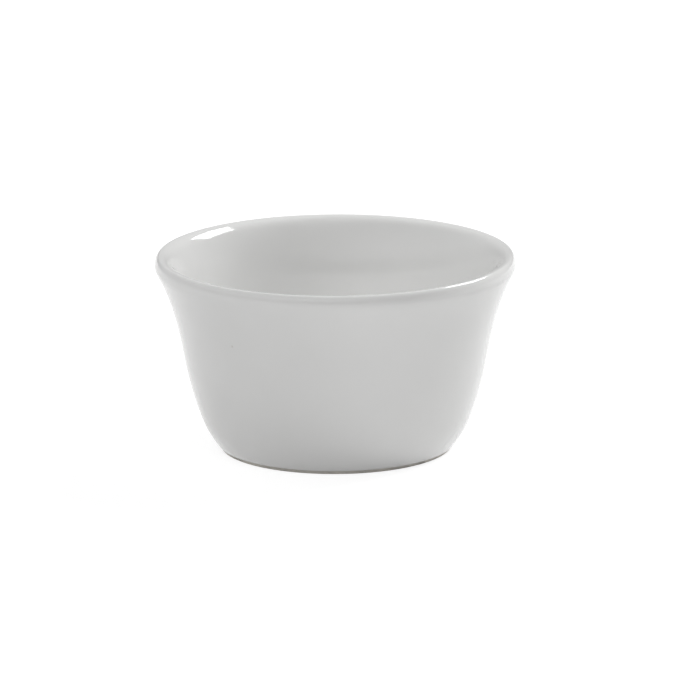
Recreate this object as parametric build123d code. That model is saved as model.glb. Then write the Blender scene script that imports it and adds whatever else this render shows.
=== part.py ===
from build123d import *
import math
import os

# A flared porcelain ramekin: the fired clay body, the glaze that coats it from the foot
# over the lip to the floor, and the glaze in the well under the foot. The axis is +Z and
# the table is z = 0. Lengths are in millimetres and angles in degrees.

# Overall sizes, over the glaze
height = 49.0
rim_diameter = 90.0

# The bare foot ring that the ramekin stands on, and the well inside it
foot_diameter = 57.2
foot_ring_width = 2.6
foot_edge_reach = 1.0
foot_edge_height = 1.0
well_depth = 1.4
well_slope_width = 1.8

# The outside of the wall, stretch by stretch: where each ends and how far it leans out there
foot_lean = 38.0
heel_reach = 4.05
heel_height = 8.0
heel_lean = 21.0
waist_diameter = 76.3
waist_height = 25.0
waist_lean = 9.8
flare_inset = 0.7
flare_drop = 4.4
flare_lean = 27.5

# The rolled lip: its widest point lies under its crest, and its crest inside the rim
lip_drop = 2.4
lip_roll = 1.2

# Thickness of the glazed ware, square to its surface
heel_thickness = 4.2
wall_thickness = 3.7
shoulder_thickness = 4.1
lip_thickness = 4.4
floor_thickness = 4.4
floor_corner_reach = 8.0

# The inside stays steep up to a shoulder, this share of the way from the waist to the flare,
# and then opens faster than the outside does
shoulder_share = 0.45
shoulder_lean = 11.0
mouth_lean = 34.0

# The fired glaze
glaze_thickness = 0.3

# Headings along the outline, clockwise from straight up
UP = 0.0
OUTWARDS = 90.0
INWARDS = -90.0
HALF_TURN = 180.0

# Radii and levels that several pieces share
rim_radius = rim_diameter / 2
foot_radius = foot_diameter / 2
floor_level = well_depth + floor_thickness
well_radius = foot_radius - foot_ring_width - well_slope_width


def sunk(knot, depth):
    """The knot moved into the ware, which lies to the left of the outline."""
    radius, level, heading = knot
    turn = math.radians(heading)
    return radius - depth * math.cos(turn), level + depth * math.sin(turn), heading


def across_the_wall(knot, thickness, lean):
    """The knot of the inside face opposite a place outside, with that lean, passed on the way down."""
    radius, level, heading = sunk((knot[0], knot[1], lean), thickness)
    return radius, level, heading - HALF_TURN


def place(knot):
    return Vector(knot[0], knot[1])


def direction(knot):
    turn = math.radians(knot[2])
    return Vector(math.sin(turn), math.cos(turn))


def template_curve(start, end):
    """A curve between two knots that passes each of them on its heading.

    Its handles point at the corner where the headings cross, and reach as far towards it as
    those of a round arc do. Where there is no such corner, they reach a third of the way across.
    """
    chord = place(end) - place(start)
    leaving, arriving = direction(start), direction(end)
    spread = leaving.cross(arriving).Z
    handles = [chord.length / 3] * 2
    if spread:
        to_corner = [chord.cross(arriving).Z / spread, leaving.cross(chord).Z / spread]
        if min(to_corner) > 0:
            turn = math.radians(end[2] - start[2])
            arc_share = 4 / 3 * math.tan(turn / 4) / math.tan(turn / 2)
            handles = [arc_share * way for way in to_corner]
    return Bezier(
        place(start),
        place(start) + leaving * handles[0],
        place(end) - arriving * handles[1],
        place(end),
    )


def template(depth):
    """Knots of the ware this deep under the glaze, from the foot over the lip to the flat floor.

    Each knot is a radius, a level and the heading with which the outline passes it.
    """
    foot = (foot_radius + foot_edge_reach, foot_edge_height, foot_lean)
    heel = (foot[0] + heel_reach, heel_height, heel_lean)
    waist = (waist_diameter / 2, waist_height, waist_lean)
    flare = (rim_radius - flare_inset, height - flare_drop, flare_lean)
    widest = (rim_radius, height - lip_drop, UP)
    crest = (rim_radius - lip_roll, height, INWARDS)
    mouth = across_the_wall(flare, lip_thickness, mouth_lean)
    outside = template_curve(waist, flare).position_at(shoulder_share)
    shoulder = across_the_wall((outside.X, outside.Y), shoulder_thickness, shoulder_lean)
    inner_waist = across_the_wall(waist, wall_thickness, waist_lean)
    inner_heel = across_the_wall(heel, heel_thickness, heel_lean)
    floor_edge = (inner_heel[0] - floor_corner_reach, floor_level, INWARDS)
    outer_knots = [foot, heel, waist, flare, widest, crest]
    inner_knots = [mouth, shoulder, inner_waist, inner_heel, floor_edge]
    return [sunk(knot, depth) for knot in outer_knots + inner_knots]


def outline(knots):
    """Curves through the knots, and the flat floor from the last of them to the axis."""
    curves = [template_curve(start, end) for start, end in zip(knots, knots[1:])]
    return curves + [Line(place(knots[-1]), (0, knots[-1][1]))]


def turned(edges):
    """The closed outline spun about the ramekin's axis."""
    return revolve(Plane.XZ * make_face(edges), Axis.Z)


def clay_body():
    """Fired clay: the whole wall and floor, the bare foot ring and the hollow of the well."""
    clay = template(glaze_thickness)
    ring_outside = (foot_radius, 0, OUTWARDS)
    ring_inside = (foot_radius - foot_ring_width, 0, OUTWARDS)
    well_edge = (well_radius, well_depth, OUTWARDS)
    underside = [
        Line((0, clay[-1][1]), (0, well_depth)),
        Line((0, well_depth), place(well_edge)),
        template_curve(well_edge, ring_inside),
        Line(place(ring_inside), place(ring_outside)),
        template_curve(ring_outside, clay[0]),
    ]
    return turned(outline(clay) + underside)


def glaze_coat():
    """The glaze on the outside, the lip, the inside and the floor, down to the wiped foot."""
    face, clay = template(0), template(glaze_thickness)
    wiped_edge = Line(place(face[0]), place(clay[0]))
    middle = Line((0, face[-1][1]), (0, clay[-1][1]))
    return turned(outline(face) + outline(clay) + [wiped_edge, middle])


def well_glaze():
    """The disc of glaze in the well, with its edge thinned where the foot was wiped."""
    face_level = well_depth - glaze_thickness
    face_radius = well_radius - glaze_thickness
    corners = [(0, well_depth), (well_radius, well_depth), (face_radius, face_level), (0, face_level)]
    return turned(Polyline(*corners, close=True))


pieces = {"clay_body": clay_body, "glaze_coat": glaze_coat, "well_glaze": well_glaze}

os.makedirs("parts", exist_ok=True)
for name, make in pieces.items():
    export_step(make(), f"parts/{name}.step")
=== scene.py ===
import math

import bmesh
import bpy
from bpy.props import FloatProperty, FloatVectorProperty, PointerProperty
from mathutils import Matrix, Vector


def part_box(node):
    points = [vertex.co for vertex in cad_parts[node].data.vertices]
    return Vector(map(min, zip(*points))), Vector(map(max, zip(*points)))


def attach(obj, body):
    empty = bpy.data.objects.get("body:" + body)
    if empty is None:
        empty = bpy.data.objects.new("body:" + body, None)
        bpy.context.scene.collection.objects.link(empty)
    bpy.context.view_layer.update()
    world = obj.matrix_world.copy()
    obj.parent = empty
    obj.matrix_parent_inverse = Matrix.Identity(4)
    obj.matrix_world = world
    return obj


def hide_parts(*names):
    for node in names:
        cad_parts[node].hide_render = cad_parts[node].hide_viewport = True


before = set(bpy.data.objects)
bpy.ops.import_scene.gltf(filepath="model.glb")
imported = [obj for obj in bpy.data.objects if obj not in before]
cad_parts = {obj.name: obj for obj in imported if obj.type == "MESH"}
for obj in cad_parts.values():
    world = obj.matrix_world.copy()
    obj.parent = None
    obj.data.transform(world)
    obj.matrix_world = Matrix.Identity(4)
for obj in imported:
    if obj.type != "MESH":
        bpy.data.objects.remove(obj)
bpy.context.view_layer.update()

bl_info = {
    "name": "Porcelain ramekin",
    "version": (1, 0, 0),
    "blender": (4, 5, 0),
    "location": "3D View > Sidebar > Ramekin",
    "description": "A flared ramekin of glazed porcelain, with its studio",
    "category": "Add Mesh",
}

# The object is one dish of fired clay with glass melted on to it, so its pieces are the clay,
# the glaze that covers it down to the foot, and the glaze in the well under the foot.
# Lengths are in metres, and the axis of the dish is the world's Z.

glaze_low, glaze_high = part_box("glaze_coat")
well_low, well_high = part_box("well_glaze")

# Headings along an outline, clockwise from straight up
UP = 0.0
OUTWARDS = math.radians(90)
INWARDS = math.radians(-90)
HALF_TURN = math.pi

# How finely the outlines and the turning are divided
STEPS_PER_CURVE = 12
STEPS_PER_TURN = 224

# Points closer than this are one point, and headings less than this apart are parallel
SAME_PLACE = 1e-7
PARALLEL = 1e-6

# Fired glass and fired clay both bend light as window glass does
GLASS_IOR = 1.5

# The glaze: how wide its drifts of tone, its changes of gloss and its orange peel are, and how
# deep the peel is
DRIFT_WIDTH = 0.030
GLOSS_WIDTH = 0.012
PEEL_WIDTH = 0.005
PEEL_DEPTH = 0.000004

# The cells in which a speck of the glaze may lie, the share of them that have one, and the shift
# that brings one to where the real dish has its only one, on the left of the wall
SPECK_CELL = 0.009
SPECK_SHARE = 0.09
SPECK_SHIFT = (0.05276, 0.01360, -0.02795)

# The bare clay: how wide its rubbed patches and its grit are, and how deep the grit is. The grit
# is coarser than the real grain, so that it shows.
WEAR_WIDTH = 0.006
GRIT_WIDTH = 0.00025
GRIT_DEPTH = 0.00002

# Sockets of a node that mixes two colours
MIX_SHARE, MIX_FIRST, MIX_SECOND = 0, 6, 7
MIX_RESULT = 2

# The studio. Azimuth 0 is the camera's side of the dish, and 90 is its right.
SENSOR_WIDTH = 36.0
NEAREST_SEEN, FARTHEST_SEEN = 0.01, 20.0
TABLE_RADIUS = 4.0
TABLE_SIDES = 96
DISH_MIDDLE = 0.025
LAMP_DISTANCE = 2.5

# The table as it is seen: an even white, and the share of the light on it that adds to that
TABLE_GLOW = 0.84
SHADOW_SHARE = 0.27

# The softbox: name, azimuth and elevation in degrees, width and height in metres, and watts
LAMPS = [
    ("window_softbox", 128, 43, 1.20, 0.85, 42.0),
]

# Where the walls start to glow and where they glow in full, as degrees above the table
GLOW_STARTS = 12
GLOW_FULL = 24

# Glow of the walls: azimuth in degrees, and strength below and above that rise. A higher power
# keeps each glow closer to its azimuth.
GLOW_POWER = 4.0
WALL_GLOWS = [
    (-180, 0.02, 0.01),
    (-135, 0.58, 0.78),
    (-90, 0.00, 0.44),
    (-45, 0.00, 0.65),
    (0, 0.00, 0.97),
    (90, 0.40, 0.00),
    (135, 0.38, 0.40),
]


def length(name, description, default):
    """A size that shows in the panel in scene units."""
    return FloatProperty(name=name, description=description, default=default, unit="LENGTH", precision=4)


def angle(name, description, degrees):
    """An angle that shows in the panel in degrees."""
    return FloatProperty(name=name, description=description, default=math.radians(degrees), unit="ROTATION")


def linear(hex_colour):
    """Linear red, green and blue of an sRGB hex value."""
    shares = [int(hex_colour[i : i + 2], 16) / 255 for i in (1, 3, 5)]
    return [s / 12.92 if s <= 0.04045 else ((s + 0.055) / 1.055) ** 2.4 for s in shares]


def colour(name, description, hex_colour):
    """A colour that shows in the panel as a swatch."""
    return FloatVectorProperty(
        name=name, description=description, default=linear(hex_colour), subtype="COLOR", size=3, min=0, max=1
    )


class RamekinSizes(bpy.types.PropertyGroup):
    """The turned form: its outside, and the thickness behind each stretch of it."""

    height: length("Height", "From the table to the crest of the lip", glaze_high.z)
    rim_radius: length("Rim radius", "Out to the widest point of the lip", glaze_high.x)
    glaze: length("Glaze thickness", "Of the fired glaze, square to its surface", well_high.z - well_low.z)
    foot_radius: length("Foot radius", "Outside of the ring that the dish stands on", 0.0286)
    foot_ring_width: length("Foot ring width", "Of the bare ground ring", 0.0026)
    foot_edge_reach: length("Foot edge reach", "From the ring out to where the glaze ends", 0.001)
    foot_edge_height: length("Foot edge height", "From the table up to where the glaze ends", glaze_low.z)
    foot_lean: angle("Foot lean", "Of the wall where the glaze ends", 38)
    well_depth: length("Well depth", "Hollow of the clay under the floor", well_high.z)
    well_slope: length("Well slope", "Width of the slope from the well to the ring", 0.0018)
    heel_reach: length("Heel reach", "From the foot edge out to the heel", 0.00405)
    heel_height: length("Heel height", "From the table up to the heel", 0.008)
    heel_lean: angle("Heel lean", "Of the wall at the heel", 21)
    heel_thickness: length("Heel thickness", "Of the ware at the heel", 0.0042)
    waist_radius: length("Waist radius", "Where the wall stands steepest", 0.03815)
    waist_height: length("Waist height", "Where the wall stands steepest", 0.025)
    waist_lean: angle("Waist lean", "Of the wall where it stands steepest", 9.8)
    wall_thickness: length("Wall thickness", "Of the ware at the waist", 0.0037)
    shoulder_radius: length("Shoulder radius", "Where the inside starts to open", 0.03617)
    shoulder_height: length("Shoulder height", "Where the inside starts to open", 0.03483)
    shoulder_lean: angle("Shoulder lean", "Of the inside where it starts to open", 11)
    flare_inset: length("Flare inset", "From the rim in to where the wall meets the lip", 0.0007)
    flare_drop: length("Flare drop", "From the crest down to where the wall meets the lip", 0.0044)
    flare_lean: angle("Flare lean", "Of the wall under the lip", 27.5)
    lip_thickness: length("Lip thickness", "Of the ware under the lip", 0.0044)
    mouth_lean: angle("Mouth lean", "Of the inside opposite the flare", 34)
    lip_drop: length("Lip drop", "From the crest down to the widest point", 0.0024)
    lip_roll: length("Lip roll", "From the widest point in to the crest", 0.0012)
    floor_thickness: length("Floor thickness", "Of the ware above the well", 0.0044)
    floor_corner: length("Floor corner", "From the flat floor out to the heel inside", 0.008)


class RamekinColours(bpy.types.PropertyGroup):
    """What the glaze and the bare clay look like."""

    glaze: colour("Glaze", "Where the glaze lies at its usual thickness", "#E6E6E5")
    glaze_thin: colour("Thin glaze", "Where the glaze lies a little thinner", "#E9E9E8")
    speck: colour("Speck", "Iron specks that melted into the glaze", "#D0CDC8")
    clay: colour("Clay", "The bare fired clay of the foot ring", "#D9D5CD")
    clay_rubbed: colour("Rubbed clay", "Where the ring has rubbed on a shelf", "#B9B6B0")
    floor: colour("Floor", "The matte table under the dish", "#F1F1F1")


class RamekinStudio(bpy.types.PropertyGroup):
    """Where the camera stands, and how strong the light is."""

    distance: length("Camera distance", "From the camera to the point it looks at", 2.0)
    elevation: angle("Camera elevation", "Above the horizon", 14.04)
    roll: angle("Camera roll", "Clockwise, as seen from behind the camera", 0.29)
    aim_height: length("Aim height", "Of the point that the camera looks at", 0.0270)
    aim_right: length("Aim to the right", "Of the point that the camera looks at, from the axis", 0.00108)
    lens: FloatProperty(name="Lens", description="Focal length in millimetres", default=423.8)
    walls: FloatProperty(name="Walls", description="Strength of the glow of the studio's walls", default=1.0)
    lamps: FloatProperty(name="Lamps", description="Strength of the softbox", default=1.0)


def add_node(tree, kind, settings=None, links=None):
    """A new node. Settings are its own properties, or values of its inputs, and links feed its inputs."""
    node = tree.nodes.new(kind)
    for name, value in (settings or {}).items():
        if isinstance(name, str) and hasattr(node, name):
            setattr(node, name, value)
        else:
            node.inputs[name].default_value = value
    for name, output in (links or {}).items():
        tree.links.new(output, node.inputs[name])
    return node


def empty_material(name):
    """A node material with nothing in it yet but its output."""
    material = bpy.data.materials.new(name)
    material.use_nodes = True
    tree = material.node_tree
    tree.nodes.clear()
    return material, tree, add_node(tree, "ShaderNodeOutputMaterial")


def opaque(colours):
    """A colour with full alpha, as a colour socket takes it."""
    return (*colours, 1.0)


def glaze_material(colours):
    """White feldspar glaze, dipped and fired glossy: a smooth glass face that mirrors lamps sharply,
    with a faint orange peel a few millimetres wide, a slight drift of tone and hardly any specks."""
    material, tree, output = empty_material("porcelain_glaze")
    place = add_node(tree, "ShaderNodeTexCoord").outputs["Object"]

    # Tone drifts as the glaze ran thicker or thinner
    drift = add_node(tree, "ShaderNodeTexNoise", {"Scale": 1 / DRIFT_WIDTH, "Detail": 2.0}, {"Vector": place})
    spread = add_node(
        tree, "ShaderNodeMapRange", {"From Min": 0.35, "From Max": 0.65}, {"Value": drift.outputs["Fac"]}
    )
    tone = add_node(
        tree,
        "ShaderNodeMix",
        {"data_type": "RGBA", MIX_FIRST: opaque(colours.glaze), MIX_SECOND: opaque(colours.glaze_thin)},
        {MIX_SHARE: spread.outputs["Result"]},
    )

    # Specks 0.6 mm across, soft at the edge, in a few cells
    shifted = add_node(tree, "ShaderNodeVectorMath", {"operation": "ADD", 1: SPECK_SHIFT}, {0: place})
    cells = add_node(
        tree, "ShaderNodeTexVoronoi", {"Scale": 1 / SPECK_CELL}, {"Vector": shifted.outputs["Vector"]}
    )
    near = add_node(
        tree,
        "ShaderNodeMapRange",
        {"From Min": 0.010, "From Max": 0.050, "To Min": 1.0, "To Max": 0.0},
        {"Value": cells.outputs["Distance"]},
    )
    dice = add_node(tree, "ShaderNodeSeparateColor", None, {"Color": cells.outputs["Color"]})
    chosen = add_node(
        tree, "ShaderNodeMath", {"operation": "LESS_THAN", 1: SPECK_SHARE}, {0: dice.outputs["Red"]}
    )
    dot = add_node(
        tree,
        "ShaderNodeMath",
        {"operation": "MULTIPLY"},
        {0: near.outputs["Result"], 1: chosen.outputs["Value"]},
    )
    speckled = add_node(
        tree,
        "ShaderNodeMix",
        {"data_type": "RGBA", MIX_SECOND: opaque(colours.speck)},
        {MIX_SHARE: dot.outputs["Value"], MIX_FIRST: tone.outputs[MIX_RESULT]},
    )

    # Gloss varies a little, and the face ripples by some thousandths of a millimetre
    haze = add_node(tree, "ShaderNodeTexNoise", {"Scale": 1 / GLOSS_WIDTH, "Detail": 3.0}, {"Vector": place})
    gloss = add_node(
        tree, "ShaderNodeMapRange", {"To Min": 0.03, "To Max": 0.08}, {"Value": haze.outputs["Fac"]}
    )
    peel = add_node(tree, "ShaderNodeTexNoise", {"Scale": 1 / PEEL_WIDTH, "Detail": 1.0}, {"Vector": place})
    ripple = add_node(
        tree,
        "ShaderNodeBump",
        {"Strength": 1.0, "Distance": PEEL_DEPTH},
        {"Height": peel.outputs["Fac"]},
    )
    glass = add_node(
        tree,
        "ShaderNodeBsdfPrincipled",
        {"IOR": GLASS_IOR},
        {
            "Base Color": speckled.outputs[MIX_RESULT],
            "Roughness": gloss.outputs["Result"],
            "Normal": ripple.outputs["Normal"],
        },
    )
    tree.links.new(glass.outputs["BSDF"], output.inputs["Surface"])
    return material


def clay_material(colours):
    """Fired porcelain, bare and ground flat: dry and matte, a warm white with a fine grit, and greyed
    where the ring has rubbed on a shelf."""
    material, tree, output = empty_material("bare_porcelain")
    place = add_node(tree, "ShaderNodeTexCoord").outputs["Object"]
    wear = add_node(tree, "ShaderNodeTexNoise", {"Scale": 1 / WEAR_WIDTH, "Detail": 4.0}, {"Vector": place})
    spread = add_node(
        tree, "ShaderNodeMapRange", {"From Min": 0.45, "From Max": 0.75}, {"Value": wear.outputs["Fac"]}
    )
    tone = add_node(
        tree,
        "ShaderNodeMix",
        {"data_type": "RGBA", MIX_FIRST: opaque(colours.clay), MIX_SECOND: opaque(colours.clay_rubbed)},
        {MIX_SHARE: spread.outputs["Result"]},
    )
    grit = add_node(tree, "ShaderNodeTexNoise", {"Scale": 1 / GRIT_WIDTH, "Detail": 2.0}, {"Vector": place})
    rough = add_node(
        tree, "ShaderNodeMapRange", {"To Min": 0.6, "To Max": 0.85}, {"Value": grit.outputs["Fac"]}
    )
    grain = add_node(
        tree,
        "ShaderNodeBump",
        {"Strength": 1.0, "Distance": GRIT_DEPTH},
        {"Height": grit.outputs["Fac"]},
    )
    biscuit = add_node(
        tree,
        "ShaderNodeBsdfPrincipled",
        {"IOR": GLASS_IOR},
        {
            "Base Color": tone.outputs[MIX_RESULT],
            "Roughness": rough.outputs["Result"],
            "Normal": grain.outputs["Normal"],
        },
    )
    tree.links.new(biscuit.outputs["BSDF"], output.inputs["Surface"])
    return material


def table_material(colours):
    """Matte white table. The camera and mirror images see it white but for a faint shadow of the dish,
    and it lights the dish as plain matte white does."""
    material, tree, output = empty_material("white_table")
    plain = add_node(tree, "ShaderNodeBsdfDiffuse", {"Color": opaque(colours.floor)})
    shaded = add_node(tree, "ShaderNodeBsdfDiffuse", {"Color": opaque([SHADOW_SHARE] * 3)})
    white = add_node(tree, "ShaderNodeEmission", {"Strength": TABLE_GLOW})
    bright = add_node(
        tree, "ShaderNodeAddShader", None, {0: shaded.outputs["BSDF"], 1: white.outputs["Emission"]}
    )
    mixed = add_node(
        tree,
        "ShaderNodeMixShader",
        None,
        {0: ray_is_seen(tree), 1: plain.outputs["BSDF"], 2: bright.outputs["Shader"]},
    )
    tree.links.new(mixed.outputs["Shader"], output.inputs["Surface"])
    return material


def ray_is_seen(tree):
    """1 for a ray of the camera's, or of a mirror image or glass, and 0 for one that carries light."""
    path = add_node(tree, "ShaderNodeLightPath")
    direct = add_node(
        tree,
        "ShaderNodeMath",
        {"operation": "MAXIMUM"},
        {0: path.outputs["Is Camera Ray"], 1: path.outputs["Is Glossy Ray"]},
    )
    either = add_node(
        tree,
        "ShaderNodeMath",
        {"operation": "MAXIMUM"},
        {0: direct.outputs["Value"], 1: path.outputs["Is Transmission Ray"]},
    )
    return either.outputs["Value"]


def sunk(knot, depth):
    """The knot moved into the ware, which lies to the left of the outline."""
    radius, level, heading = knot
    return radius - depth * math.cos(heading), level + depth * math.sin(heading), heading


def across_the_wall(knot, thickness, lean):
    """The knot of the inside face opposite a place outside, with that lean, passed on the way down."""
    radius, level, heading = sunk((knot[0], knot[1], lean), thickness)
    return radius, level, heading - HALF_TURN


def turned_back(knots):
    """The same knots, passed the other way."""
    return [(radius, level, heading - HALF_TURN) for radius, level, heading in reversed(knots)]


def ware_knots(sizes, depth):
    """Knots of the ware this deep under the glaze, from the foot over the lip to the middle of the floor.

    Each knot is a radius, a level and the heading with which the outline passes it.
    """
    foot = (sizes.foot_radius + sizes.foot_edge_reach, sizes.foot_edge_height, sizes.foot_lean)
    heel = (foot[0] + sizes.heel_reach, sizes.heel_height, sizes.heel_lean)
    waist = (sizes.waist_radius, sizes.waist_height, sizes.waist_lean)
    flare = (sizes.rim_radius - sizes.flare_inset, sizes.height - sizes.flare_drop, sizes.flare_lean)
    widest = (sizes.rim_radius, sizes.height - sizes.lip_drop, UP)
    crest = (sizes.rim_radius - sizes.lip_roll, sizes.height, INWARDS)
    mouth = across_the_wall(flare, sizes.lip_thickness, sizes.mouth_lean)
    shoulder = (sizes.shoulder_radius, sizes.shoulder_height, sizes.shoulder_lean - HALF_TURN)
    inner_waist = across_the_wall(waist, sizes.wall_thickness, sizes.waist_lean)
    inner_heel = across_the_wall(heel, sizes.heel_thickness, sizes.heel_lean)
    floor_level = sizes.well_depth + sizes.floor_thickness
    floor_edge = (inner_heel[0] - sizes.floor_corner, floor_level, INWARDS)
    middle = (0.0, floor_level, INWARDS)
    outside = [foot, heel, waist, flare, widest, crest]
    inside = [mouth, shoulder, inner_waist, inner_heel, floor_edge, middle]
    sunken = [sunk(knot, depth) for knot in outside + inside]
    return sunken[:-1] + [(0.0, sunken[-1][1], INWARDS)]


def handle_lengths(start, end):
    """How far the handles reach from two knots for a curve that bends as evenly as a round arc.

    They reach towards the corner where the headings cross, or a third of the way where there is none.
    """
    chord = Vector(end[:2]) - Vector(start[:2])
    leaving, arriving = heading_vector(start[2]), heading_vector(end[2])
    spread = leaving.cross(arriving)
    if abs(spread) > PARALLEL:
        to_corner = [chord.cross(arriving) / spread, leaving.cross(chord) / spread]
        if min(to_corner) > 0:
            turn = end[2] - start[2]
            arc_share = 4 / 3 * math.tan(turn / 4) / math.tan(turn / 2)
            return [arc_share * way for way in to_corner]
    return [chord.length / 3] * 2


def heading_vector(heading):
    """One unit along a heading, as a radius and a level."""
    return Vector((math.sin(heading), math.cos(heading)))


def outline_mesh(name, knots):
    """The smooth outline through the knots, as a mesh of edges in the plane of X and Z."""
    curve = bpy.data.curves.new(name, "CURVE")
    curve.dimensions = "3D"
    curve.resolution_u = STEPS_PER_CURVE
    spline = curve.splines.new("BEZIER")
    spline.bezier_points.add(len(knots) - 1)
    reaches = [handle_lengths(start, end) for start, end in zip(knots, knots[1:])]
    before = [0.0] + [reach[1] for reach in reaches]
    after = [reach[0] for reach in reaches] + [0.0]
    for point, knot, back, ahead in zip(spline.bezier_points, knots, before, after):
        way = heading_vector(knot[2])
        along = Vector((way.x, 0, way.y))
        point.co = (knot[0], 0, knot[1])
        point.handle_left_type = point.handle_right_type = "FREE"
        point.handle_left = point.co - along * back
        point.handle_right = point.co + along * ahead
    holder = bpy.data.objects.new(name, curve)
    mesh = bpy.data.meshes.new_from_object(holder)
    bpy.data.objects.remove(holder)
    bpy.data.curves.remove(curve)
    return mesh


def turned_piece(name, knots, material, node):
    """The outline spun about the axis, as a closed smooth piece that stands for a CAD node."""
    outline = outline_mesh(name, knots)
    form = bmesh.new()
    form.from_mesh(outline)
    bpy.data.meshes.remove(outline)
    bmesh.ops.spin(
        form,
        geom=form.verts[:] + form.edges[:],
        cent=(0, 0, 0),
        axis=(0, 0, 1),
        dvec=(0, 0, 0),
        angle=math.tau,
        steps=STEPS_PER_TURN,
        use_merge=True,
        use_duplicate=False,
    )
    bmesh.ops.remove_doubles(form, verts=form.verts, dist=SAME_PLACE)
    bmesh.ops.recalc_face_normals(form, faces=form.faces)
    if any(not edge.is_manifold for edge in form.edges):
        raise RuntimeError(f"{name} isn't closed")
    for face in form.faces:
        face.smooth = True
    mesh = bpy.data.meshes.new(name)
    form.to_mesh(mesh)
    form.free()
    piece = bpy.data.objects.new(name, mesh)
    bpy.context.scene.collection.objects.link(piece)
    mesh.materials.append(material)
    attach(piece, "root")
    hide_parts(node)
    return piece


class RAMEKIN_OT_clay(bpy.types.Operator):
    """Builds the fired clay dish with its bare foot ring"""

    bl_idname = "ramekin.clay"
    bl_label = "Clay dish"

    def execute(self, context):
        sizes = context.scene.ramekin_sizes
        ring_outside = (sizes.foot_radius, 0.0, OUTWARDS)
        ring_inside = (sizes.foot_radius - sizes.foot_ring_width, 0.0, OUTWARDS)
        well_edge = (ring_inside[0] - sizes.well_slope, sizes.well_depth, OUTWARDS)
        well_middle = (0.0, sizes.well_depth, OUTWARDS)
        knots = [well_middle, well_edge, ring_inside, ring_outside] + ware_knots(sizes, sizes.glaze)
        material = clay_material(context.scene.ramekin_colours)
        turned_piece("clay_dish", knots, material, "clay_body")
        return {"FINISHED"}


class RAMEKIN_OT_glaze(bpy.types.Operator):
    """Builds the glaze over the outside, the lip, the inside and the floor"""

    bl_idname = "ramekin.glaze"
    bl_label = "Glaze"

    def execute(self, context):
        sizes = context.scene.ramekin_sizes
        knots = turned_back(ware_knots(sizes, sizes.glaze)) + ware_knots(sizes, 0.0)
        material = glaze_material(context.scene.ramekin_colours)
        turned_piece("glaze_skin", knots, material, "glaze_coat")
        return {"FINISHED"}


class RAMEKIN_OT_well_glaze(bpy.types.Operator):
    """Builds the disc of glaze in the well under the foot"""

    bl_idname = "ramekin.well_glaze"
    bl_label = "Glaze in the well"

    def execute(self, context):
        sizes = context.scene.ramekin_sizes
        edge = sizes.foot_radius - sizes.foot_ring_width - sizes.well_slope
        face = sizes.well_depth - sizes.glaze
        knots = [
            (0.0, sizes.well_depth, OUTWARDS),
            (edge - sizes.glaze, sizes.well_depth, OUTWARDS),
            (edge - sizes.glaze, face, INWARDS),
            (0.0, face, INWARDS),
        ]
        material = bpy.data.materials["porcelain_glaze"]
        turned_piece("glaze_disc", knots, material, "well_glaze")
        return {"FINISHED"}


class RAMEKIN_OT_stage(bpy.types.Operator):
    """Sets up the white table, the light and the camera"""

    bl_idname = "ramekin.stage"
    bl_label = "Studio"

    def execute(self, context):
        studio = context.scene.ramekin_studio
        context.scene.view_settings.view_transform = "Standard"
        lay_table(table_material(context.scene.ramekin_colours))
        light_walls(context.scene, studio.walls)
        for name, azimuth, elevation, width, tall, power in LAMPS:
            hang_lamp(context.scene, name, azimuth, elevation, width, tall, power * studio.lamps)
        set_camera(context.scene, studio)
        return {"FINISHED"}


def lay_table(material):
    """A round white table top, wide enough to fill the camera's view."""
    form = bmesh.new()
    bmesh.ops.create_circle(form, cap_ends=True, radius=TABLE_RADIUS, segments=TABLE_SIDES)
    mesh = bpy.data.meshes.new("table")
    form.to_mesh(mesh)
    form.free()
    table = bpy.data.objects.new("table", mesh)
    bpy.context.scene.collection.objects.link(table)
    mesh.materials.append(material)


def towards(azimuth, elevation):
    """The direction from the dish at an azimuth and an elevation in degrees."""
    side, up = math.radians(azimuth), math.radians(elevation)
    return Vector((math.sin(side) * math.cos(up), -math.cos(side) * math.cos(up), math.sin(up)))


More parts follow.
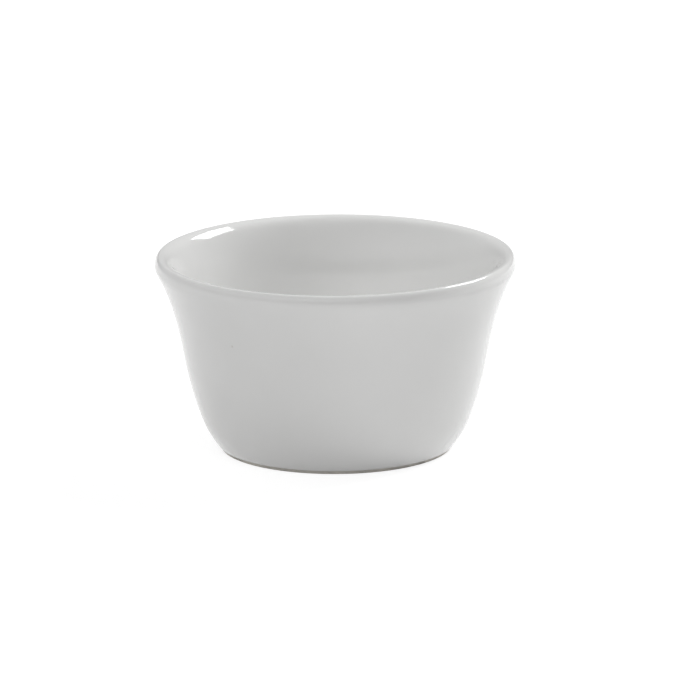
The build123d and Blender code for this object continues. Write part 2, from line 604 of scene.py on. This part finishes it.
def light_walls(scene, strength):
    """Soft glow of the studio's walls and ceiling, with its own strength towards each side."""
    world = bpy.data.worlds.new("studio_walls")
    scene.world = world
    world.use_nodes = True
    tree = world.node_tree
    tree.nodes.clear()
    place = add_node(tree, "ShaderNodeTexCoord").outputs["Generated"]
    parts = add_node(tree, "ShaderNodeSeparateXYZ", None, {"Vector": place})
    level = add_node(
        tree, "ShaderNodeCombineXYZ", None, {"X": parts.outputs["X"], "Y": parts.outputs["Y"]}
    )
    compass = add_node(
        tree, "ShaderNodeVectorMath", {"operation": "NORMALIZE"}, {0: level.outputs["Vector"]}
    )
    total = add_node(tree, "ShaderNodeValue").outputs["Value"]
    total.default_value = 0.0
    for azimuth, low, high in WALL_GLOWS:
        facing = add_node(
            tree,
            "ShaderNodeVectorMath",
            {"operation": "DOT_PRODUCT", 1: towards(azimuth, 0)},
            {0: compass.outputs["Vector"]},
        )
        ahead = add_node(
            tree, "ShaderNodeMath", {"operation": "MAXIMUM", 1: 0.0}, {0: facing.outputs["Value"]}
        )
        spread = add_node(
            tree, "ShaderNodeMath", {"operation": "POWER", 1: GLOW_POWER}, {0: ahead.outputs["Value"]}
        )
        rise = add_node(
            tree,
            "ShaderNodeMapRange",
            {
                "interpolation_type": "SMOOTHSTEP",
                "From Min": towards(0, GLOW_STARTS).z,
                "From Max": towards(0, GLOW_FULL).z,
                "To Min": low * strength,
                "To Max": high * strength,
            },
            {"Value": parts.outputs["Z"]},
        )
        total = add_node(
            tree,
            "ShaderNodeMath",
            {"operation": "MULTIPLY_ADD"},
            {0: spread.outputs["Value"], 1: rise.outputs["Result"], 2: total},
        ).outputs["Value"]
    glow = add_node(tree, "ShaderNodeBackground", {"Color": (1.0, 1.0, 1.0, 1.0)}, {"Strength": total})
    add_node(tree, "ShaderNodeOutputWorld", None, {"Surface": glow.outputs["Background"]})


def hang_lamp(scene, name, azimuth, elevation, width, tall, power):
    """A softbox that faces the dish."""
    light = bpy.data.lights.new(name, "AREA")
    light.shape = "RECTANGLE"
    light.size, light.size_y = width, tall
    light.energy = power
    lamp = bpy.data.objects.new(name, light)
    out = towards(azimuth, elevation)
    lamp.location = Vector((0, 0, DISH_MIDDLE)) + out * LAMP_DISTANCE
    lamp.rotation_euler = out.to_track_quat("Z", "Y").to_euler()
    scene.collection.objects.link(lamp)


def set_camera(scene, studio):
    """The camera where the photograph was taken from."""
    lens = bpy.data.cameras.new("camera")
    lens.lens = studio.lens
    lens.sensor_width = SENSOR_WIDTH
    camera = bpy.data.objects.new("camera", lens)
    scene.collection.objects.link(camera)
    scene.camera = camera
    back = Vector((0, -math.cos(studio.elevation), math.sin(studio.elevation)))
    aim = Vector((studio.aim_right, 0, studio.aim_height))
    facing = back.to_track_quat("Z", "Y").to_matrix() @ Matrix.Rotation(-studio.roll, 3, "Z")
    camera.matrix_world = Matrix.Translation(aim + back * studio.distance) @ facing.to_4x4()
    lens.clip_start, lens.clip_end = NEAREST_SEEN, FARTHEST_SEEN


class RAMEKIN_PT_panel(bpy.types.Panel):
    """Lists the sizes, the colours and the steps that build the dish"""

    bl_label = "Ramekin"
    bl_idname = "RAMEKIN_PT_panel"
    bl_space_type = "VIEW_3D"
    bl_region_type = "UI"
    bl_category = "Ramekin"

    def draw(self, context):
        scene = context.scene
        for settings in (scene.ramekin_sizes, scene.ramekin_colours, scene.ramekin_studio):
            box = self.layout.box()
            for name in settings.__annotations__:
                box.prop(settings, name)
        for operator in OPERATORS:
            self.layout.operator(operator.bl_idname)


OPERATORS = [RAMEKIN_OT_clay, RAMEKIN_OT_glaze, RAMEKIN_OT_well_glaze, RAMEKIN_OT_stage]
CLASSES = [RamekinSizes, RamekinColours, RamekinStudio, *OPERATORS, RAMEKIN_PT_panel]


def register():
    for each in CLASSES:
        bpy.utils.register_class(each)
    bpy.types.Scene.ramekin_sizes = PointerProperty(type=RamekinSizes)
    bpy.types.Scene.ramekin_colours = PointerProperty(type=RamekinColours)
    bpy.types.Scene.ramekin_studio = PointerProperty(type=RamekinStudio)


def unregister():
    del bpy.types.Scene.ramekin_studio
    del bpy.types.Scene.ramekin_colours
    del bpy.types.Scene.ramekin_sizes
    for each in reversed(CLASSES):
        bpy.utils.unregister_class(each)


def main():
    register()
    bpy.ops.ramekin.clay()
    bpy.ops.ramekin.glaze()
    bpy.ops.ramekin.well_glaze()
    bpy.ops.ramekin.stage()


if __name__ == "__main__":
    main()
